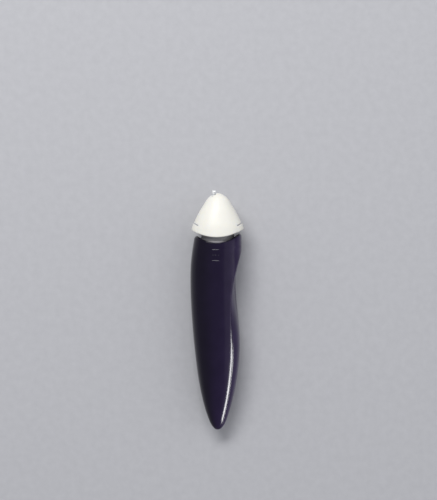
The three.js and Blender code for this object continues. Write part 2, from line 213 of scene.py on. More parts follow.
# ---------- curves along the tool ----------
def curve(knots, round_start=True):
    """A natural cubic spline through (station, value) knots, as a function of arrays of stations.
    With round_start it leaves station 0 at a right angle, which rounds a tip."""
    def warp(station):
        return np.sqrt(np.maximum(station, 0)) if round_start else np.asarray(station, float)

    x, y = np.array(knots, float).T
    x = warp(x)
    h = np.diff(x)
    slope = np.diff(y) / h
    count = len(x)
    matrix = np.eye(count)
    right_side = np.zeros(count)
    for i in range(1, count - 1):
        matrix[i, i - 1:i + 2] = h[i - 1], 2 * (h[i - 1] + h[i]), h[i]
        right_side[i] = 6 * (slope[i] - slope[i - 1])
    bend = np.linalg.solve(matrix, right_side)

    def value(station):
        at = warp(station)
        i = np.clip(np.searchsorted(x, at) - 1, 0, count - 2)
        low = at - x[i]
        high = x[i + 1] - at
        cubic = (bend[i] * high ** 3 + bend[i + 1] * low ** 3) / (6 * h[i])
        falling = (y[i] / h[i] - bend[i] * h[i] / 6) * high
        rising = (y[i + 1] / h[i] - bend[i + 1] * h[i] / 6) * low
        return cubic + falling + rising
    return value


left_edge = curve([(0, -0.25), (2, 2.35), (9, 5.2), (20, 7.82), (35, 9.9), (50, 11.25),
                   (66, 11.95), (76, 11.65), (88, 9.9)])
right_edge = curve([(0, 0.25), (2, 3.2), (9, 6.15), (20, 8.95), (35, 10.8), (50, 11.2),
                    (66, 11.2), (80, 11.05), (88, 10.95)])
front_edge = curve([(0, -2.0), (2, 0.5), (9, 3.9), (20, 6.8), (35, 9.0), (50, 9.9), (66, 10.1), (88, 9.9)])
back_edge = curve([(0, 2.0), (2, 4.2), (9, 6.7), (20, 8.9), (35, 10.3), (50, 10.5), (75, 10.5), (88, 9.8)])
crease_degrees = curve([(0, 62), (6, 58), (14, 56), (46, 56), (57, 55), (64, 50.5), (70, 43),
                        (75, 33.5), (79, 19), (83, -5), (88, -35)], False)
scoop_depth = curve([(0, 0.1), (6, 0.35), (20, 0.6), (36, 0.7), (46, 1.4), (56, 2.9), (64, 3.4),
                     (70, 2.8), (75, 1.8), (80, 0.8), (84, 0.3), (88, 0)], False)
crease_softness = curve([(0, 0.7), (12, 1.1), (28, 1.3), (36, 0.9), (45, 0.3), (60, 0.2), (88, 0.2)], False)

nose_width = curve([(0, 0), (1.2, 3.2), (3, 5.0), (4.8, 6.1), (8.4, 8.3), (12, 10.1), (14.7, 11.15),
                    (17, 11.55), (21, 11.7)])
nose_depth = curve([(0, 0), (1.2, 3.0), (3, 4.6), (4.8, 5.6), (8.4, 7.4), (12, 8.8), (15, 9.6), (21, 9.9)])
nose_rise = curve([(0, 2.2), (6, 1.4), (13, 0.3), (17, 0), (21, 0)], False)


def metres(x, station, z):
    """Points in the frame, from millimetres off the tool's axis."""
    x, station, z = np.broadcast_arrays(x, station, z)
    return np.stack([x, station - REST_STATION, AXIS_HEIGHT + z], -1) * MM


def superellipse(angle, a, b, power):
    """Radius of a superellipse of half axes a and b, at an angle."""
    return (np.abs(np.cos(angle) / a) ** power + np.abs(np.sin(angle) / b) ** power) ** (-1 / power)


def handle_section(station, angle, inset=0):
    """(x, z) of the handle's surface, in millimetres off the tool's axis."""
    a = np.maximum((right_edge(station) + left_edge(station)) / 2, LEAST_RADIUS)
    b = np.maximum((front_edge(station) + back_edge(station)) / 2, LEAST_RADIUS)
    crease = np.radians(crease_degrees(station))
    past_crease = np.remainder(crease - angle + math.pi, 2 * math.pi) - math.pi
    u = past_crease / SCOOP_SPAN
    softness = crease_softness(station) / (a * SCOOP_SPAN)
    u = np.clip((u + np.sqrt(u * u + softness ** 2)) / 2, 0, 1)
    scoop = scoop_depth(station) * SCOOP_PEAK * u * (1 - u) ** 2
    radius = superellipse(angle, a, b, SQUARENESS) - scoop - inset
    x = (right_edge(station) - left_edge(station)) / 2 + radius * np.cos(angle)
    z = (front_edge(station) - back_edge(station)) / 2 + radius * np.sin(angle)
    return x, np.maximum(z, inset - AXIS_HEIGHT)


def seam_angle(station):
    """The right seam's angle around the handle."""
    return np.radians(np.maximum(crease_degrees(station) - SEAM_BELOW_CREASE, SEAM_LOWEST))


def half_width(station):
    """The handle's half width, never so small that columns crowd at the tail."""
    return np.maximum((right_edge(station) + left_edge(station)) / 2, TIP_HALF_WIDTH)


def nose_section(station, angle, inset=0):
    """(x, z) of the nose's surface, in millimetres off the tool's axis."""
    below = np.maximum(NOSE_TIP - station, 0)
    a = np.maximum(nose_width(below) - inset, LEAST_RADIUS)
    b = np.maximum(nose_depth(below) - inset, LEAST_RADIUS)
    radius = superellipse(angle, a, b, 2)
    return NOSE_X + radius * np.cos(angle), nose_rise(below) + radius * np.sin(angle)


def nose_ring(station, angle, inset=0):
    """Points of the nose's surface in the frame."""
    x, z = nose_section(station, angle, inset)
    return metres(x, station, z)


def arc_station(centre, radius, x):
    """Where an arc seen from the front lies, at a distance x from its centre."""
    return centre - np.sqrt(np.maximum(radius ** 2 - x ** 2, 0))


def mouth_station(x):
    """The handle's mouth."""
    return arc_station(MOUTH_CENTRE, MOUTH_RADIUS, x - MOUTH_X)


def base_station(x, raised=0.0):
    """The nose's base edge, or an arc that lies above it."""
    return arc_station(NOSE_BASE_CENTRE, NOSE_BASE_RADIUS - raised, x - NOSE_BASE_X)


def slit_station(x, lowered=0.0):
    """The upper edge of the slit above each release tab, or an arc that lies below it."""
    return arc_station(TAB_SLIT_CENTRE, TAB_SLIT_RADIUS + lowered, x - NOSE_X)


# ---------- mesh helpers ----------
def grid_faces(rows, columns, start, closed=False):
    """Quads over a grid of points that begins at start. A closed grid joins its last column to its first."""
    around = columns if closed else columns - 1
    return [(start + i * columns + j, start + i * columns + (j + 1) % columns,
             start + (i + 1) * columns + (j + 1) % columns, start + (i + 1) * columns + j)
            for i in range(rows - 1) for j in range(around)]


def wall_faces(rows, columns, start):
    """Quads that join the rims of two sheets of points; the second sheet's points begin at start."""
    rim = [(0, j) for j in range(columns)] + [(i, columns - 1) for i in range(1, rows)]
    rim += [(rows - 1, j) for j in range(columns - 2, -1, -1)] + [(i, 0) for i in range(rows - 2, 0, -1)]
    rim = [i * columns + j for i, j in rim]
    return [(rim[k - 1], rim[k], start + rim[k], start + rim[k - 1]) for k in range(len(rim))]


def zip_faces(first, second, first_at, second_at):
    """Triangles between two rows of points, stepping along whichever lags behind."""
    faces = []
    i = j = 0
    while i < len(first) - 1 or j < len(second) - 1:
        step_first = j == len(second) - 1 or (i < len(first) - 1 and first_at[i + 1] <= second_at[j + 1])
        third = first[i + 1] if step_first else second[j + 1]
        if len({first[i], second[j], third}) == 3:
            faces.append((first[i], second[j], third))
        i, j = (i + 1, j) if step_first else (i, j + 1)
    return faces


def new_mesh(name, points, faces, sharp_degrees=SHARP_DEGREES, merge=0.0):
    """A smooth-shaded object whose faces all point outwards."""
    mesh = bpy.data.meshes.new(name)
    mesh.from_pydata([tuple(p) for p in points], [], faces)
    work = bmesh.new()
    work.from_mesh(mesh)
    if merge:
        bmesh.ops.remove_doubles(work, verts=work.verts, dist=merge)
    bmesh.ops.recalc_face_normals(work, faces=work.faces)
    work.to_mesh(mesh)
    work.free()
    mesh.shade_smooth()
    mesh.set_sharp_from_angle(angle=math.radians(sharp_degrees))
    piece = bpy.data.objects.new(name, mesh)
    bpy.context.scene.collection.objects.link(piece)
    return piece


def join(pieces):
    """Joins objects into the first one."""
    keeper = pieces[0]
    with bpy.context.temp_override(active_object=keeper, selected_editable_objects=pieces):
        bpy.ops.object.join()
    return keeper


def cut(piece, cutters):
    """Takes each cutter out of a piece and removes the cutters."""
    for cutter in cutters:
        modifier = piece.modifiers.new("cut", "BOOLEAN")
        modifier.operation = "DIFFERENCE"
        modifier.solver = "EXACT"
        modifier.object = cutter
    graph = bpy.context.evaluated_depsgraph_get()
    mesh = bpy.data.meshes.new_from_object(piece.evaluated_get(graph))
    piece.modifiers.clear()
    piece.data = mesh
    mesh.shade_smooth()
    mesh.set_sharp_from_angle(angle=math.radians(SHARP_DEGREES))
    for cutter in cutters:
        bpy.data.objects.remove(cutter)
    return piece


def turned(name, profile, sides=96):
    """A turned piece about the cartridge's centre line, from a closed (radius, station) profile."""
    profile = np.array(profile, float)
    angles = np.linspace(0, 2 * math.pi, sides, endpoint=False)
    radius = profile[:, :1]
    points = metres(CARTRIDGE_X + radius * np.cos(angles), profile[:, 1:], radius * np.sin(angles))
    faces = grid_faces(len(profile), sides, 0, True)
    last = (len(profile) - 1) * sides
    faces += [(last + j, last + (j + 1) % sides, (j + 1) % sides, j) for j in range(sides)]
    return new_mesh(name, points.reshape(-1, 3), faces, merge=MERGE)


def rounded(profile, radius, steps=4):
    """Rounds every corner of a closed (radius, station) profile, except those on the axis."""
    profile = np.array(profile, float)
    result = []
    for k, corner in enumerate(profile):
        before = profile[k - 1] - corner
        after = profile[(k + 1) % len(profile)] - corner
        if corner[0] == 0:
            result.append(corner)
            continue
        shorter = min(np.linalg.norm(before), np.linalg.norm(after))
        reach = min(radius, shorter * EDGE_REACH)
        start = corner + before / np.linalg.norm(before) * reach
        end = corner + after / np.linalg.norm(after) * reach
        for t in np.linspace(0, 1, steps + 1):
            result.append((1 - t) ** 2 * start + 2 * t * (1 - t) * corner + t * t * end)
    return result


def bar(name, outline, low, high, axis):
    """A straight bar of a closed outline. Along x the outline is (station, z), along z it is (x, station)."""
    ends = []
    for end in (low, high):
        for p, q in outline:
            ends.append(metres(end, p, q) if axis == "x" else metres(p, q, end))
    count = len(outline)
    faces = [(j, (j + 1) % count, count + (j + 1) % count, count + j) for j in range(count)]
    faces += [tuple(range(count)), tuple(range(count, 2 * count))]
    return new_mesh(name, ends, faces, BAR_SHARP_DEGREES)


def circle(centre, radius, sides):
    """A round outline."""
    angles = np.linspace(0, 2 * math.pi, sides, endpoint=False)
    return [(centre[0] + radius * math.cos(t), centre[1] + radius * math.sin(t)) for t in angles]


def arc_drop(distance, radius):
    """How far a rounded edge lies below the full surface, at a distance from the edge."""
    near = np.clip(radius - distance, 0, radius)
    return radius - np.sqrt(np.maximum(radius ** 2 - near ** 2, 0))


# ---------- handle ----------
def shell_half(name, first_seam, last_seam, crease_first):
    """One half of the handle: an outer sheet and an inner sheet, joined at the mouth and along the seams."""
    far = np.linspace(0, 1, BODY_COLUMNS)[1:-1]

    def angles(station, columns):
        """Angles of the columns at one station: dense at the seams and across the crease."""
        gap = SHELL_SEAM / 2 / half_width(station)
        low, high = first_seam(station) + gap, last_seam(station) - gap
        if columns == "inner":
            return low + (high - low) * np.linspace(0, 1, INNER_COLUMNS)
        steps = SEAM_STEPS / half_width(station)
        dense = steps[-1] + np.linspace(0, CREASE_BAND, CREASE_COLUMNS)[1:]
        if crease_first:
            start = low + np.concatenate([steps, dense])
            body = start[-1] + (high - steps[-1] - start[-1]) * far
            return np.concatenate([start, body, high - steps[::-1]])
        end = high - np.concatenate([steps, dense])[::-1]
        body = low + steps[-1] + (end[0] - low - steps[-1]) * far
        return np.concatenate([low + steps, body, end])

    def seam_drop(station, around):
        """How far the rounded edges along the two seams lie below the full surface."""
        distance = np.minimum(around - around[0], around[-1] - around) * half_width(station)
        return arc_drop(distance, np.minimum(SEAM_EDGE, half_width(station) * SEAM_EDGE_SHARE))

    def mouth(around):
        """The stations at which the columns reach the mouth's arc."""
        station = np.full(around.shape, MOUTH_STATION)
        for _ in range(SOLVER_STEPS):
            station = mouth_station(handle_section(station, around)[0])
        return station

    def sheet(rows, columns, first_row, wall):
        """Rows of points from the tail to the mouth, at a wall's depth below the handle's surface."""
        is_outer = columns == "outer"
        result = []
        for station in np.linspace(math.sqrt(first_row), math.sqrt(LAST_FLAT_ROW), rows) ** 2:
            around = angles(station, columns)
            drop = seam_drop(station, around) if is_outer else 0
            x, z = handle_section(station, around, wall + drop)
            result.append(metres(x, station, z))
        around = angles(MOUTH_STATION, columns)
        drop = seam_drop(LAST_FLAT_ROW, around) if is_outer else 0
        end = mouth(around)
        if is_outer:
            fillet = MOUTH_FILLET + (MOUTH_SIDE_FILLET - MOUTH_FILLET) * np.cos(around) ** 4
            run = end - fillet - LAST_FLAT_ROW
            path = [(LAST_FLAT_ROW + run * t, 0) for t in (0.2, 0.4, 0.6, 0.8)]
            path += [(end - fillet * (1 - math.sin(turn)), fillet * (1 - math.cos(turn)))
                     for turn in np.linspace(0, math.pi / 2, FILLET_ROWS)]
        else:
            path = [(LAST_FLAT_ROW + (end - LAST_FLAT_ROW) * t, wall) for t in (0.25, 0.5, 0.75, 1)]
        for station, inset in path:
            x, z = handle_section(station, around, inset + drop)
            result.append(metres(x, station, z))
        return np.array(result)

    outer = sheet(OUTER_ROWS, "outer", FIRST_ROW, 0)
    inner = sheet(INNER_ROWS, "inner", CAVITY_START, SHELL_WALL)
    middle = (first_seam(TIP_STATION) + last_seam(TIP_STATION)) / 2
    tip_x, tip_z = handle_section(TIP_STATION, middle)
    tip = metres(tip_x, TIP_STATION, tip_z)
    wall_start = (inner[0, 0] + inner[0, -1]) / 2 - np.array([0, CAVITY_POINT * MM, 0])

    points = [tip, wall_start, *outer.reshape(-1, 3), *inner.reshape(-1, 3)]
    o_rows, o_columns = outer.shape[:2]
    i_rows, i_columns = inner.shape[:2]
    o_start, i_start = 2, 2 + o_rows * o_columns
    faces = grid_faces(o_rows, o_columns, o_start) + grid_faces(i_rows, i_columns, i_start)
    faces += [(0, o_start + j, o_start + j + 1) for j in range(o_columns - 1)]
    faces += [(1, i_start + j, i_start + j + 1) for j in range(i_columns - 1)]

    for side in (0, 1):
        outside = [0] + [o_start + i * o_columns + side * (o_columns - 1) for i in range(o_rows)]
        inside = [0, 1] + [i_start + i * i_columns + side * (i_columns - 1) for i in range(i_rows)]
        faces += zip_faces(outside, inside, [points[k][1] for k in outside], [points[k][1] for k in inside])
    last_outer = [o_start + (o_rows - 1) * o_columns + j for j in range(o_columns)]
    last_inner = [i_start + (i_rows - 1) * i_columns + j for j in range(i_columns)]
    outer_at = angles(MOUTH_STATION, "outer")
    inner_at = angles(MOUTH_STATION, "inner")
    faces += zip_faces(last_outer, last_inner, outer_at, inner_at)
    return new_mesh(name, points, faces)


def closed_patch(name, points, faces, rows, columns):
    """A sheet of points, closed by a copy of itself a little way below."""
    start = rows * columns
    under = [point - np.array([0, 0, MOTIF_SUNK * MM]) for point in points]
    faces = faces + grid_faces(rows, columns, start) + wall_faces(rows, columns, start)
    return new_mesh(name, points + under, faces)


def motif():
    """A plain raised mark near the mouth: two fine ribs with a row of dots between them."""
    parts = []

    def on_surface(x, station):
        """The height of the handle's front at a point seen from the front."""
        angle = math.pi / 2
        for _ in range(SOLVER_STEPS):
            surface_x, surface_z = handle_section(station, angle)
            angle += (surface_x - x) / math.hypot(surface_x, surface_z)
        return handle_section(station, angle)[1]

    def swell(distance):
        """A low rounded swelling: how high it stands at a distance from its middle line or point."""
        return MOTIF_HEIGHT / 2 * (1 + math.cos(math.pi * min(1, distance))) - MOTIF_SUNK

    for row, station in enumerate(RIB_STATIONS):
        points = []
        for x in np.linspace(RIB_LEFT, RIB_RIGHT, RIB_ROWS):
            near_end = min(1, min(x - RIB_LEFT, RIB_RIGHT - x) / RIB_HALF)
            z = on_surface(x, station)
            for across in np.linspace(-1, 1, RIB_COLUMNS):
                height = z + swell(math.hypot(across, 1 - near_end))
                points.append(metres(x, station + RIB_HALF * across, height))
        faces = grid_faces(RIB_ROWS, RIB_COLUMNS, 0)
        parts.append(closed_patch(f"motif_rib_{row}", points, faces, RIB_ROWS, RIB_COLUMNS))
    for k, middle_x in enumerate(DOT_PLACES):
        z = on_surface(middle_x, DOT_STATION)
        points = []
        for down in np.linspace(-1, 1, DOT_ROWS):
            for across in np.linspace(-1, 1, DOT_ROWS):
                x, station = middle_x + DOT_HALF * across, DOT_STATION + DOT_HALF * down
                points.append(metres(x, station, z + swell(math.hypot(across, down))))
        faces = grid_faces(DOT_ROWS, DOT_ROWS, 0)
        parts.append(closed_patch(f"motif_dot_{k}", points, faces, DOT_ROWS, DOT_ROWS))
    return join(parts)


# ---------- nose ----------
def nose_cone():
    """The nose's wall, with the wheel's pocket, the axle's hole and the two notches for the tabs."""
    sides = NOSE_SIDES
    around = np.linspace(0, 2 * math.pi, sides, endpoint=False)
    end = np.full(sides, float(NOSE_LAST_RING))
    for _ in range(SOLVER_STEPS):
        end = base_station(nose_section(end, around)[0])

    nearest, farthest = math.sqrt(NOSE_FIRST_RING), math.sqrt(NOSE_TIP - NOSE_LAST_RING)
    outer = [nose_ring(NOSE_TIP - below, around) for below in np.linspace(nearest, farthest, NOSE_ROWS) ** 2]
    run = end + NOSE_FILLET - NOSE_LAST_RING
    outer += [nose_ring(NOSE_LAST_RING + run * k / NOSE_BEND_ROWS, around) for k in range(1, NOSE_BEND_ROWS)]
    for turn in np.linspace(0, math.pi / 2, NOSE_FILLET_ROWS):
        station = end + NOSE_FILLET * (1 - math.sin(turn))
        outer.append(nose_ring(station, around, NOSE_FILLET * (1 - math.cos(turn))))
    inner = [nose_ring(station, around, NOSE_WALL) for station in (*NOSE_HOLLOW_RINGS, end)]
    outer, inner = np.array(outer), np.array(inner)
    tip = metres(NOSE_X, NOSE_TIP, nose_rise(0.0))
    roof = metres(NOSE_X, NOSE_ROOF, nose_rise(NOSE_TIP - NOSE_ROOF))
    points = [tip, roof, *outer.reshape(-1, 3), *inner.reshape(-1, 3)]
    o_start, i_start = 2, 2 + len(outer) * sides
    faces = grid_faces(len(outer), sides, o_start, True) + grid_faces(len(inner), sides, i_start, True)
    faces += [(0, o_start + j, o_start + (j + 1) % sides) for j in range(sides)]
    faces += [(1, i_start + j, i_start + (j + 1) % sides) for j in range(sides)]
    o_last, i_last = o_start + (len(outer) - 1) * sides, i_start + (len(inner) - 1) * sides
    for j in range(sides):
        following = (j + 1) % sides
        faces.append((o_last + j, o_last + following, i_last + following, i_last + j))
    cone = new_mesh("nose_cone_shell", points, faces)

    wheel_centre = (WHEEL_STATION, WHEEL_RISE)
    pocket_half = WHEEL_THICKNESS / 2 + WHEEL_SIDE_CLEARANCE
    cutters = [
        bar("pocket", circle(wheel_centre, WHEEL_RADIUS + WHEEL_CLEARANCE, 64),
            WHEEL_X - pocket_half, WHEEL_X + pocket_half, "x"),
        axle_bar("axle_hole", AXLE_RADIUS + AXLE_HOLE_CLEARANCE, 32, AXLE_HOLE_LENGTH),
    ]
    half = TAB_HALF_WIDTH + TAB_GAP
    for side in (-1, 1):
        reach = NOSE_X + side * np.linspace(NOTCH_INNER, NOTCH_OUTER, NOTCH_STEPS)
        outline = [*zip(reach, slit_station(reach)), (reach[-1], NOTCH_BOTTOM), (reach[0], NOTCH_BOTTOM)]
        cutters.append(bar(f"notch_{side}", outline, -half, half, "z"))
    return cut(cone, cutters)


def axle_bar(name, radius, sides, length):
    """A round bar on the wheel's axis."""
    middle = WHEEL_X + AXLE_OFFSET
    outline = circle((WHEEL_STATION, WHEEL_RISE), radius, sides)
    return bar(name, outline, middle - length / 2, middle + length / 2, "x")


def reach_of_wall(z, proud, station_of):
    """How far the nose's side wall, made proud by some millimetres, stands off the nose's centre plane at
    the heights z. station_of gives the stations for such distances."""
    x = np.full(z.shape, TAB_INNER)
    for _ in range(SOLVER_STEPS):
        below = NOSE_TIP - station_of(x)
        a, b = nose_width(below) + proud, nose_depth(below) + proud
        height = np.clip(np.abs(z - nose_rise(below)) / b, 0, STEEPEST)
        x = (x + a * np.sqrt(1 - height ** 2)) / 2
    return x


def release_tab(side):
    """A pad that fills the notch in the nose's side, with a wider lip behind the wall that keeps it in."""
    width = 2 * TAB_HALF_WIDTH
    last_step = 2 * TAB_EDGE_STEPS[-1]
    body = np.linspace(last_step, width - last_step, TAB_COLUMNS)
    across = np.concatenate([TAB_EDGE_STEPS, body, width - TAB_EDGE_STEPS[::-1]]) - TAB_HALF_WIDTH
    share, z = np.meshgrid(TAB_SHARES, across, indexing="ij")

    def place(x):
        """The pad's lower edge, upper edge and points, as stations."""
        low = base_station(NOSE_X + side * x)
        high = slit_station(NOSE_X + side * x, TAB_SLIT)
        return low, high, high + (low - high) * share

    proud = TAB_PROUD * np.cos(z / TAB_HALF_WIDTH * math.pi / 2) ** TAB_BULGE
    x = reach_of_wall(z, proud, lambda reach: place(reach)[2])
    low, high, _ = place(x)
    drop = arc_drop(share * (high - low), TAB_EDGE) + arc_drop((1 - share) * (high - low), NOSE_FILLET)
    drop += arc_drop(TAB_HALF_WIDTH - np.abs(z), TAB_SIDE_EDGE)
    x = np.maximum(x - drop, TAB_INNER + TAB_LEAST)
    outer = metres(NOSE_X + side * x, place(x)[2], z)
    inner_x = np.full(z.shape, TAB_INNER)
    inner = metres(NOSE_X + side * inner_x, place(inner_x)[2], z)
    word = "left" if side < 0 else "right"
    pad = plate(f"release_tab_{word}_pad", outer, inner)
    return join([pad, tab_lip(side, word)])


def tab_lip(side, word):
    """A thin curved plate that follows the inside of the nose's wall."""
    across = np.linspace(-LIP_HALF_WIDTH, LIP_HALF_WIDTH, LIP_COLUMNS)
    share, z = np.meshgrid(np.linspace(0, 1, LIP_ROWS), across, indexing="ij")

    def place(x):
        """The lip's points, as stations."""
        low = base_station(NOSE_X + side * x, LIP_RAISED)
        return low + (slit_station(NOSE_X + side * x, TAB_SLIT) - low) * share

    sheets = []
    for inset in (NOSE_WALL + LIP_GAP, NOSE_WALL + LIP_GAP + LIP_THICKNESS):
        x = reach_of_wall(z, -inset, place)
        sheets.append(metres(NOSE_X + side * x, place(x), z))
    return plate(f"release_tab_{word}_lip", *sheets)


def plate(name, outer, inner):
    """A closed plate between two sheets of points."""
    rows, columns = outer.shape[:2]
    start = rows * columns
    faces = grid_faces(rows, columns, 0) + grid_faces(rows, columns, start)
    faces += wall_faces(rows, columns, start)
    return new_mesh(name, [*outer.reshape(-1, 3), *inner.reshape(-1, 3)], faces)


# ---------- cartridge ----------
def reservoir():
    """The chalk reservoir: its barrel with the seal's groove, and its wide neck with a fine groove."""
    profile = [(BARREL_BORE, BARREL_REAR), (BARREL_RADIUS, BARREL_REAR), (BARREL_RADIUS, GROOVE_REAR),
               (GROOVE_FLOOR, GROOVE_REAR), (GROOVE_FLOOR, GROOVE_FRONT), (BARREL_RADIUS, GROOVE_FRONT),
               (BARREL_RADIUS, NECK_START), (NECK_RADIUS, NECK_START), (NECK_RADIUS, NECK_GROOVE_REAR),
               (NECK_GROOVE, NECK_GROOVE_REAR), (NECK_GROOVE, NECK_GROOVE_FRONT),
               (NECK_RADIUS, NECK_GROOVE_FRONT), (NECK_RADIUS, NECK_END), (NECK_MOUTH, NECK_END),
               (BARREL_BORE, THROAT_STATION)]
    return turned("reservoir_body", rounded(profile, RESERVOIR_EDGE), sides=128)


def sleeve():
    """The sleeve inside the handle that guides the reservoir, with its flange."""
    profile = [(SLEEVE_BORE, SLEEVE_REAR), (SLEEVE_OUTER, SLEEVE_REAR), (SLEEVE_OUTER, FLANGE_REAR),
               (FLANGE_RADIUS, FLANGE_REAR), (FLANGE_RADIUS, FLANGE_FRONT), (SLEEVE_OUTER, FLANGE_FRONT),
               (SLEEVE_OUTER, SLEEVE_FRONT), (SLEEVE_BORE, SLEEVE_FRONT)]
    return turned("sleeve_body", rounded(profile, SLEEVE_EDGE))


def plug():
    """The plug that closes the reservoir's rear end."""
    profile = [(0, PLUG_REAR), (PLUG_HEAD_RADIUS, PLUG_REAR), (PLUG_HEAD_RADIUS, PLUG_HEAD_END),
               (PLUG_SHANK_RADIUS, PLUG_HEAD_END), (PLUG_SHANK_RADIUS, PLUG_END), (0, PLUG_END)]
    return turned("plug_body", rounded(profile, PLUG_EDGE))


def toothed_wheel():
    """A stamped wheel: teeth with narrow flats, a chamfered rim and a raised hub."""
    half = WHEEL_THICKNESS / 2
    pitch = 2 * math.pi / WHEEL_TEETH
    outline = [(k * pitch + share * pitch, WHEEL_RADIUS - drop * WHEEL_TOOTH)
               for k in range(WHEEL_TEETH) for share, drop in TOOTH]
    angle, full = np.array(outline).T
    # Half of the wheel's rings, from its bore to its rim: (distance inwards from the side, radius).
    rings = [(0, WHEEL_BORE), (0, HUB_RADIUS), (WEB_DEPTH, HUB_FOOT), (WEB_DEPTH, WEB_OUTER), (0, RIM_INNER),
             (0, full - RIM_CHAMFER), (RIM_CHAMFER_WIDTH, full)]
    rings = [(inwards - half, radius) for inwards, radius in rings]
    rings += [(-offset, radius) for offset, radius in reversed(rings)]
    points = []
    for offset, radius in rings:
        station, rise = WHEEL_STATION + radius * np.cos(angle), WHEEL_RISE + radius * np.sin(angle)
        points.append(metres(WHEEL_X + offset, station, rise))
    columns = len(angle)
    faces = grid_faces(len(rings), columns, 0, True)
    last = (len(rings) - 1) * columns
    faces += [(last + j, last + (j + 1) % columns, (j + 1) % columns, j) for j in range(columns)]
    return new_mesh("toothed_wheel_disc", np.concatenate(points), faces, BAR_SHARP_DEGREES)


# ---------- materials ----------
# Noise scales are in cycles per metre, and bump depths in metres.
def material(name, colour, roughness, metallic=0.0):
    """A Principled material and its parts, for the functions below to add detail to."""
    made = bpy.data.materials.new(name)
    made.use_nodes = True
    nodes, links = made.node_tree.nodes, made.node_tree.links
    shader = nodes["Principled BSDF"]
    shader.inputs["Base Color"].default_value = (*colour, 1)
    shader.inputs["Roughness"].default_value = roughness
    shader.inputs["Metallic"].default_value = metallic
    return made, nodes, links, shader


def object_noise(nodes, links, scale, detail=3.0, roughness=0.55, stretch=(1, 1, 1)):
    """Noise in object space."""
    place = nodes.new("ShaderNodeTexCoord")
    mapping = nodes.new("ShaderNodeMapping")
    mapping.inputs["Scale"].default_value = stretch
    noise = nodes.new("ShaderNodeTexNoise")
    noise.inputs["Scale"].default_value = scale
    noise.inputs["Detail"].default_value = detail
    noise.inputs["Roughness"].default_value = roughness
    links.new(place.outputs["Object"], mapping.inputs["Vector"])
    links.new(mapping.outputs["Vector"], noise.inputs["Vector"])
    return noise.outputs["Fac"]


def ramp(nodes, links, source, low, high, from_low=0.3, from_high=0.7):
    """Spreads a noise between two values, or between two colours."""
    stretch = nodes.new("ShaderNodeMapRange")
    stretch.inputs["From Min"].default_value = from_low
    stretch.inputs["From Max"].default_value = from_high
    links.new(source, stretch.inputs["Value"])
    if isinstance(low, tuple):
        mix = nodes.new("ShaderNodeMix")
        mix.data_type = "RGBA"
        mix.inputs["A"].default_value = (*low, 1)
        mix.inputs["B"].default_value = (*high, 1)
        links.new(stretch.outputs["Result"], mix.inputs["Factor"])
        return mix.outputs["Result"]
    stretch.inputs["To Min"].default_value = low
    stretch.inputs["To Max"].default_value = high
    return stretch.outputs["Result"]


def bump(nodes, links, shader, heights):
    """Chains bumps: heights is a list of (source, depth in metres)."""
    normal = None
    for source, depth in heights:
        node = nodes.new("ShaderNodeBump")
        node.inputs["Strength"].default_value = 1.0
        node.inputs["Distance"].default_value = depth
        links.new(source, node.inputs["Height"])
        if normal:
            links.new(normal, node.inputs["Normal"])
        normal = node.outputs["Normal"]
    links.new(normal, shader.inputs["Normal"])


def handle_plastic():
    """Dark aubergine, semi-gloss, with a very fine grain and faint rubbed patches."""
    dark, light = (0.0032, 0.0013, 0.0088), (0.0046, 0.0023, 0.0116)
    made, nodes, links, shader = material("handle_plastic", light, 0.2)
    grain = object_noise(nodes, links, 9000, 2)
    cloud = object_noise(nodes, links, 160, 4)
    rubbed = object_noise(nodes, links, 420, 4, 0.55, (1.4, 0.5, 1.4))
    links.new(ramp(nodes, links, cloud, dark, light), shader.inputs["Base Color"])
    links.new(ramp(nodes, links, rubbed, 0.16, 0.21), shader.inputs["Roughness"])
    shader.inputs["Specular IOR Level"].default_value = 0.25
    bump(nodes, links, shader, [(grain, 0.0000015), (cloud, 0.000006)])
    return made


def inner_plastic():
    """Plain black moulding plastic, inside the handle and the reservoir."""
    dark, light = (0.009, 0.008, 0.011), (0.016, 0.015, 0.018)
    made, nodes, links, shader = material("inner_plastic", light, 0.5)
    grain = object_noise(nodes, links, 5000, 3)
    links.new(ramp(nodes, links, grain, dark, light), shader.inputs["Base Color"])
    links.new(ramp(nodes, links, grain, 0.42, 0.58), shader.inputs["Roughness"])
    bump(nodes, links, shader, [(grain, 0.000006)])
    return made


def nose_plastic():
    """Warm white, softly glossy, with a little light inside it."""
    dark, light = (0.88, 0.86, 0.78), (0.92, 0.9, 0.82)
    made, nodes, links, shader = material("nose_plastic", light, 0.4)
    cloud = object_noise(nodes, links, 120, 3)
    grain = object_noise(nodes, links, 7000, 2)
    rubbed = object_noise(nodes, links, 700, 4)
    links.new(ramp(nodes, links, cloud, dark, light), shader.inputs["Base Color"])
    links.new(ramp(nodes, links, rubbed, 0.38, 0.46), shader.inputs["Roughness"])
    shader.inputs["Subsurface Weight"].default_value = 0.15
    shader.inputs["Subsurface Radius"].default_value = (0.9, 0.8, 0.6)
    shader.inputs["Subsurface Scale"].default_value = 0.0012
    bump(nodes, links, shader, [(grain, 0.000003), (cloud, 0.00002)])
    return made


def smoky_plastic():
    """Smoky clear plastic, with faint lines drawn along it by the mould."""
    dark, light = (0.51, 0.49, 0.51), (0.57, 0.55, 0.57)
    made, nodes, links, shader = material("smoky_plastic", light, 0.16)
    cloud = object_noise(nodes, links, 140, 3)
    drawn = object_noise(nodes, links, 600, 3, 0.5, (1, 0.12, 1))
    links.new(ramp(nodes, links, cloud, dark, light), shader.inputs["Base Color"])
    links.new(ramp(nodes, links, drawn, 0.12, 0.2), shader.inputs["Roughness"])
    shader.inputs["Transmission Weight"].default_value = 0.35
    shader.inputs["IOR"].default_value = 1.5
    bump(nodes, links, shader, [(drawn, 0.000004)])
    return made


